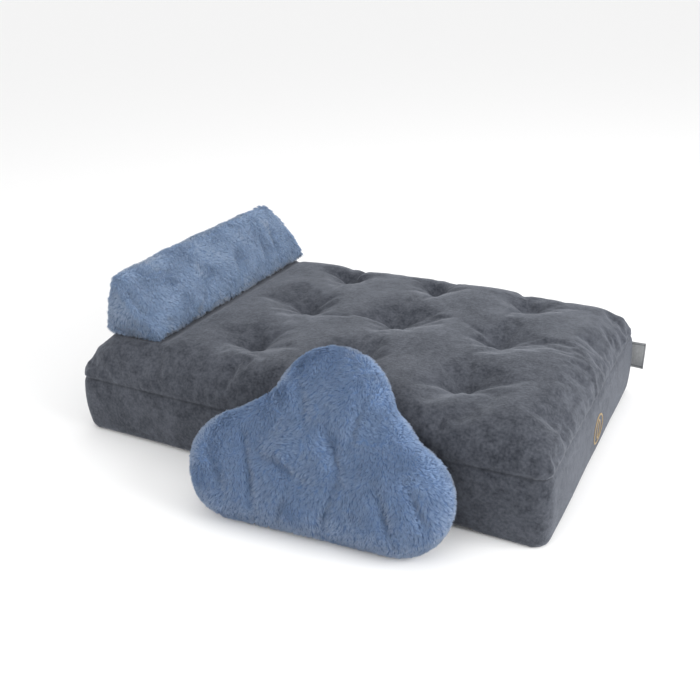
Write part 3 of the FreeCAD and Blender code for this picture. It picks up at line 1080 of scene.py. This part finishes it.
# %% Brushed nap
def make_nap_group():
    """Soft patches, middle-sized blotches and fine grain, as brushed cloth shows."""
    group, given, result = start_group("brushed_nap", [("Patch", 14), ("Blotch", 60), ("Grain", 260)],
                                       ["Shade", "Height"])
    patch = noise_node(group, given.outputs["Vector"], given.outputs["Patch"], 2)
    blotch = noise_node(group, given.outputs["Vector"], given.outputs["Blotch"], 3)
    grain = noise_node(group, given.outputs["Vector"], given.outputs["Grain"], 2)
    total = math_node(group, "ADD", math_node(group, "MULTIPLY", patch, 0.24),
                      math_node(group, "MULTIPLY", blotch, 0.30))
    fine = math_node(group, "MULTIPLY", given.outputs["Grain"], 7)
    fibre = noise_node(group, given.outputs["Vector"], fine, 2)
    total = math_node(group, "ADD", total, math_node(group, "MULTIPLY", grain, 0.32))
    total = math_node(group, "ADD", total, math_node(group, "MULTIPLY", fibre, 0.14))
    spread = group.nodes.new("ShaderNodeMapRange")
    spread.inputs["From Min"].default_value = 0.39
    spread.inputs["From Max"].default_value = 0.61
    group.links.new(total, spread.inputs["Value"])
    group.links.new(spread.outputs[0], result.inputs["Shade"])
    height = math_node(group, "ADD", grain, math_node(group, "MULTIPLY", blotch, 0.8))
    height = math_node(group, "ADD", height, math_node(group, "MULTIPLY", fibre, 0.5))
    group.links.new(height, result.inputs["Height"])
    return group


# %% Thread weave
def make_weave_group():
    """Threads that pass over and under: two sets of bands, each set hidden where the other is up."""
    group, given, result = start_group("thread_weave", [("Threads", 180)], ["Shade", "Height"])
    bands = []
    for direction in ("X", "Z"):
        wave = group.nodes.new("ShaderNodeTexWave")
        wave.bands_direction = direction
        wave.inputs["Distortion"].default_value = 0.6
        group.links.new(given.outputs["Vector"], wave.inputs["Vector"])
        group.links.new(given.outputs["Threads"], wave.inputs["Scale"])
        bands.append(wave.outputs[1])
    crossing = math_node(group, "MAXIMUM", bands[0], bands[1])
    fleck = noise_node(group, given.outputs["Vector"], 300, 2)
    group.links.new(math_node(group, "MULTIPLY", crossing, fleck), result.inputs["Shade"])
    group.links.new(crossing, result.inputs["Height"])
    return group


nap_group = make_nap_group()
weave_group = make_weave_group()
print("shared effects", nap_group.name, weave_group.name)


# %% Helpers for materials
def start_material(name, roughness, **constants):
    """A material whose shader has its constant values set."""
    material = bpy.data.materials.new(name)
    material.use_nodes = True
    shader = material.node_tree.nodes["Principled BSDF"]
    shader.inputs["Roughness"].default_value = roughness
    for socket_name, value in constants.items():
        shader.inputs[socket_name.replace("_", " ")].default_value = value
    return material, material.node_tree, shader


def placed_vector(tree, turn=(0, 0, 0), stretch=(1, 1, 1)):
    """Object coordinates, turned and stretched."""
    place = tree.nodes.new("ShaderNodeTexCoord")
    mapping = tree.nodes.new("ShaderNodeMapping")
    mapping.inputs["Rotation"].default_value = turn
    mapping.inputs["Scale"].default_value = stretch
    tree.links.new(place.outputs["Object"], mapping.inputs["Vector"])
    return mapping.outputs[0]


def mix_colours(tree, factor, low, high):
    """Mixes two colours by a factor."""
    mix = tree.nodes.new("ShaderNodeMix")
    mix.data_type = "RGBA"
    tree.links.new(factor, mix.inputs[0])
    for socket, colour in ((mix.inputs[6], low), (mix.inputs[7], high)):
        if isinstance(colour, tuple):
            socket.default_value = (*colour, 1)
        else:
            tree.links.new(colour, socket)
    return mix.outputs[2]


def add_bump(tree, shader, height, distance, strength=0.6):
    """Turns a height into a bump on the shader."""
    bump = tree.nodes.new("ShaderNodeBump")
    bump.inputs["Strength"].default_value = strength
    bump.inputs["Distance"].default_value = distance
    tree.links.new(height, bump.inputs["Height"])
    tree.links.new(bump.outputs["Normal"], shader.inputs["Normal"])


def use_group(tree, group, vector, **values):
    """Places a shared effect with its own values."""
    node = tree.nodes.new("ShaderNodeGroup")
    node.node_tree = group
    tree.links.new(vector, node.inputs["Vector"])
    for socket_name, value in values.items():
        node.inputs[socket_name].default_value = value
    return node


# %% Cloth, tape, metal and fur
SEAM_SHADOW = 0.45


def brushed(name, dark, light, bump, sheen, stretch=(1, 1, 1), **values):
    """Brushed cloth: velour, or the backing under fur.  It is darkest where a seam is marked, a painted
    shadow line.
    """
    material, tree, shader = start_material(name, 0.92, Sheen_Weight=sheen, Sheen_Roughness=0.45,
                                            Sheen_Tint=(0.75, 0.8, 0.9, 1), Specular_IOR_Level=0.2)
    nap = use_group(tree, nap_group, placed_vector(tree, stretch=stretch), **values)
    seam = tree.nodes.new("ShaderNodeAttribute")
    seam.attribute_name = "seam"
    cloth = mix_colours(tree, nap.outputs["Shade"], dark, light)
    shadow = math_node(tree, "MULTIPLY", seam.outputs["Fac"], SEAM_SHADOW)
    black = tuple(value * 0.25 for value in dark)
    tree.links.new(mix_colours(tree, shadow, cloth, black), shader.inputs["Base Color"])
    add_bump(tree, shader, nap.outputs["Height"], bump)
    return material


def woven(name, dark, light, bump, threads, roughness=0.8, turn=(0, 0, math.pi / 4), **constants):
    """Plain woven cloth or tape."""
    material, tree, shader = start_material(name, roughness, **constants)
    weave = use_group(tree, weave_group, placed_vector(tree, turn=turn), Threads=threads)
    tree.links.new(mix_colours(tree, weave.outputs["Shade"], dark, light), shader.inputs["Base Color"])
    add_bump(tree, shader, weave.outputs["Height"], bump)
    return material


def hard(name, dark, light, low, high, scale, **constants):
    """Metal or plastic, with a worn and slightly uneven gloss."""
    material, tree, shader = start_material(name, low, **constants)
    wear = noise_node(tree, placed_vector(tree, stretch=(1, 1, 0.3)), scale, 5)
    spread = tree.nodes.new("ShaderNodeMapRange")
    spread.inputs["From Min"].default_value = 0.35
    spread.inputs["From Max"].default_value = 0.65
    spread.inputs["To Min"].default_value = low
    spread.inputs["To Max"].default_value = high
    tree.links.new(wear, spread.inputs["Value"])
    tree.links.new(spread.outputs[0], shader.inputs["Roughness"])
    tree.links.new(mix_colours(tree, wear, dark, light), shader.inputs["Base Color"])
    add_bump(tree, shader, wear, 0.00008, 0.3)
    return material


def plush(name, root, dark, light):
    """Fur fibres, dark at the root where no light reaches, pale at the tip."""
    material, tree, shader = start_material(name, 0.75, Sheen_Weight=0.25, Sheen_Roughness=0.4,
                                            Sheen_Tint=(0.95, 0.97, 1, 1), Specular_IOR_Level=0.25)
    nap = use_group(tree, nap_group, placed_vector(tree), Patch=16, Blotch=70, Grain=420)
    tip = tree.nodes.new("ShaderNodeAttribute")
    tip.attribute_name = "tip"
    fibre = mix_colours(tree, nap.outputs["Shade"], dark, light)
    tree.links.new(mix_colours(tree, tip.outputs["Fac"], root, fibre), shader.inputs["Base Color"])
    return material


# %% Every finish
finishes = {
    "velour": brushed("velour", (0.022, 0.025, 0.033), (0.071, 0.077, 0.093), 0.0012, 0.28,
                      Patch=13, Blotch=60, Grain=200),
    "base_cloth": woven("base_cloth", (0.02, 0.021, 0.024), (0.06, 0.062, 0.07), 0.0003, 260,
                        turn=(math.pi / 2, 0, 0)),
    "bolster_skin": brushed("bolster_backing", (0.10, 0.15, 0.24), (0.16, 0.23, 0.35), 0.0008, 0.2),
    "pillow_skin": brushed("pillow_backing", (0.07, 0.12, 0.22), (0.12, 0.19, 0.33), 0.0008, 0.2),
    "bolster_fur": plush("bolster_plush", (0.13, 0.19, 0.30), (0.25, 0.36, 0.54), (0.39, 0.50, 0.69)),
    "pillow_fur": plush("pillow_plush", (0.09, 0.145, 0.26), (0.175, 0.275, 0.47), (0.31, 0.43, 0.64)),
    "grey_tape": woven("grey_tape", (0.03, 0.032, 0.037), (0.09, 0.095, 0.105), 0.0002, 340),
    "blue_tape": woven("blue_tape", (0.05, 0.08, 0.14), (0.13, 0.19, 0.30), 0.0002, 340),
    "grey_coil": hard("grey_coil", (0.03, 0.032, 0.036), (0.07, 0.072, 0.08), 0.3, 0.5, 400),
    "blue_coil": hard("blue_coil", (0.06, 0.09, 0.16), (0.12, 0.17, 0.27), 0.3, 0.5, 400),
    "zip_metal": hard("zip_metal", (0.32, 0.33, 0.35), (0.55, 0.56, 0.58), 0.22, 0.45, 260, Metallic=1.0),
    "cord": woven("tuft_cord", (0.02, 0.02, 0.024), (0.08, 0.08, 0.09), 0.0002, 500),
    "plastic": hard("anchor_plastic", (0.02, 0.02, 0.022), (0.05, 0.05, 0.055), 0.4, 0.6, 120),
    "gold_thread": woven("gold_thread", (0.16, 0.10, 0.03), (0.42, 0.29, 0.11), 0.0002, 600, 0.5,
                         turn=(0, 0, math.pi / 2), Sheen_Weight=0.2),
}


# %% Label satin
def make_satin():
    """Grey satin with a darker woven border, placed by the label's own UV map."""
    material, tree, shader = start_material("label_satin", 0.45, Sheen_Weight=0.3)
    weave = use_group(tree, weave_group, placed_vector(tree, turn=(0, 0, 0)), Threads=420)
    base = mix_colours(tree, weave.outputs["Shade"], (0.16, 0.165, 0.17), (0.36, 0.37, 0.38))
    uv = tree.nodes.new("ShaderNodeUVMap")
    uv.uv_map = "UVMap"
    split = tree.nodes.new("ShaderNodeSeparateXYZ")
    tree.links.new(uv.outputs[0], split.inputs[0])
    edges = []
    for axis in (0, 1):
        off = math_node(tree, "ABSOLUTE", math_node(tree, "SUBTRACT", split.outputs[axis], 0.5), 0)
        stripe = math_node(tree, "COMPARE", off, 0.42)
        stripe.node.inputs[2].default_value = 0.015
        edges.append(stripe)
    border = math_node(tree, "MAXIMUM", edges[0], edges[1])
    tree.links.new(mix_colours(tree, border, base, (0.07, 0.075, 0.085)), shader.inputs["Base Color"])
    add_bump(tree, shader, weave.outputs["Height"], 0.00012)
    return material


finishes["satin"] = make_satin()
print("finishes", sorted(finishes))


# %% Put the finishes on
def paint(thing, *names):
    """Gives a piece its finishes, in order."""
    thing.data.materials.clear()
    for name in names:
        thing.data.materials.append(finishes[name])


def finish_node(node, name):
    """Gives a carried-over CAD node its finish, without touching its mesh."""
    thing = frame["nodes"][node]
    if not thing.material_slots:
        thing.data.materials.append(finishes[name])
    for place in thing.material_slots:
        place.material = finishes[name]


paint(cover, "velour", "base_cloth")
for polygon in cover.data.polygons:
    polygon.material_index = int(polygon.normal.z < -0.9 and polygon.center.z < 0.002)
paint(bolster, "bolster_skin")
paint(pillow, "pillow_skin")
for fur in bolster_fur:
    paint(fur, "bolster_fur")
for fur in pillow_fur:
    paint(fur, "pillow_fur")
paint(label, "satin")
paint(badge, "gold_thread")
finish_node("tuft_ties", "cord")
finish_node("tuft_anchors", "plastic")
for prefix, shade in (("mattress", "grey"), ("bolster", "blue"), ("pillow", "blue")):
    paint(teeth[prefix], shade + "_coil")
    for half in ("upper", "lower"):
        finish_node(f"{prefix}_zip_tape_{half}", shade + "_tape")
    for metal in ("stops", "slider", "pull"):
        finish_node(f"{prefix}_zip_{metal}", "zip_metal")
print("finishes", len(finishes))
